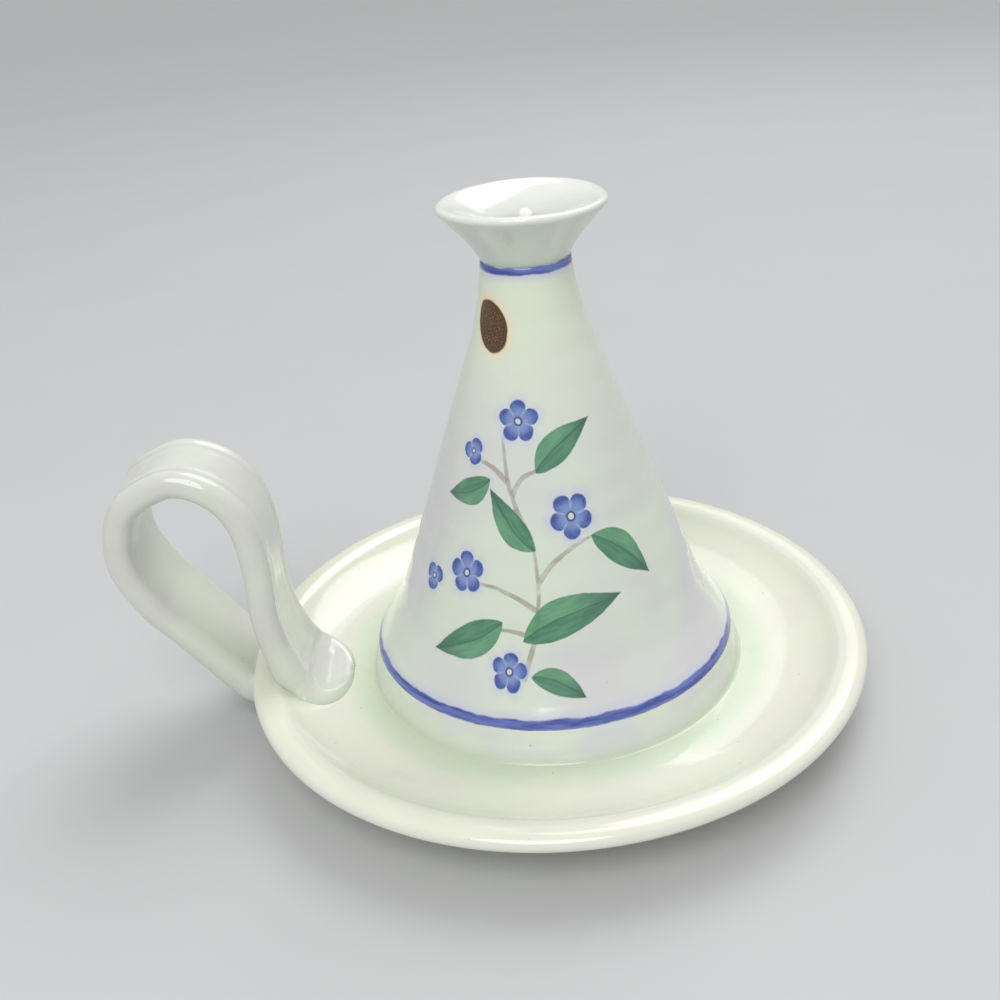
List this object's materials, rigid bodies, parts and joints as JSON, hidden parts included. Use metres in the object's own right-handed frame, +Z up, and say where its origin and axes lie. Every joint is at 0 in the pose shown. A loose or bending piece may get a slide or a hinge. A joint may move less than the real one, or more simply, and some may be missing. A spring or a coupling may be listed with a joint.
{
  "type": "chamberstick with finger loop",
  "caption": "Hand-thrown glazed chamberstick: a shallow drip saucer with a hollow cone stem, a flared candle cup at its top and a strap finger loop at the lip.",
  "frame": {"origin": "centre of the foot ring's resting face, on the axis of the cone and the candle socket", "axes": "+Z up along the candle's axis; the finger loop stands off the lip towards -X"},
  "size_m": [0.2236, 0.19, 0.1556],
  "materials": {
    "saucer_glaze": "glossy cream glaze on stoneware, bare clay on the foot ring",
    "cone_glaze": "glossy pale celadon-white glaze with hand-painted bands and sprigs",
    "pooled_glaze": "thick pooled glaze, slightly greener",
    "cup_glaze": "glossy white glaze",
    "handle_glaze": "glossy cream glaze, thin on the edges"
  },
  "bodies": {
    "root": {"saucer": "saucer_glaze", "stem_cone": "cone_glaze", "cone_foot_coil": "pooled_glaze", "candle_cup": "cup_glaze", "strap_handle": "handle_glaze"}
  },
  "joints": []
}
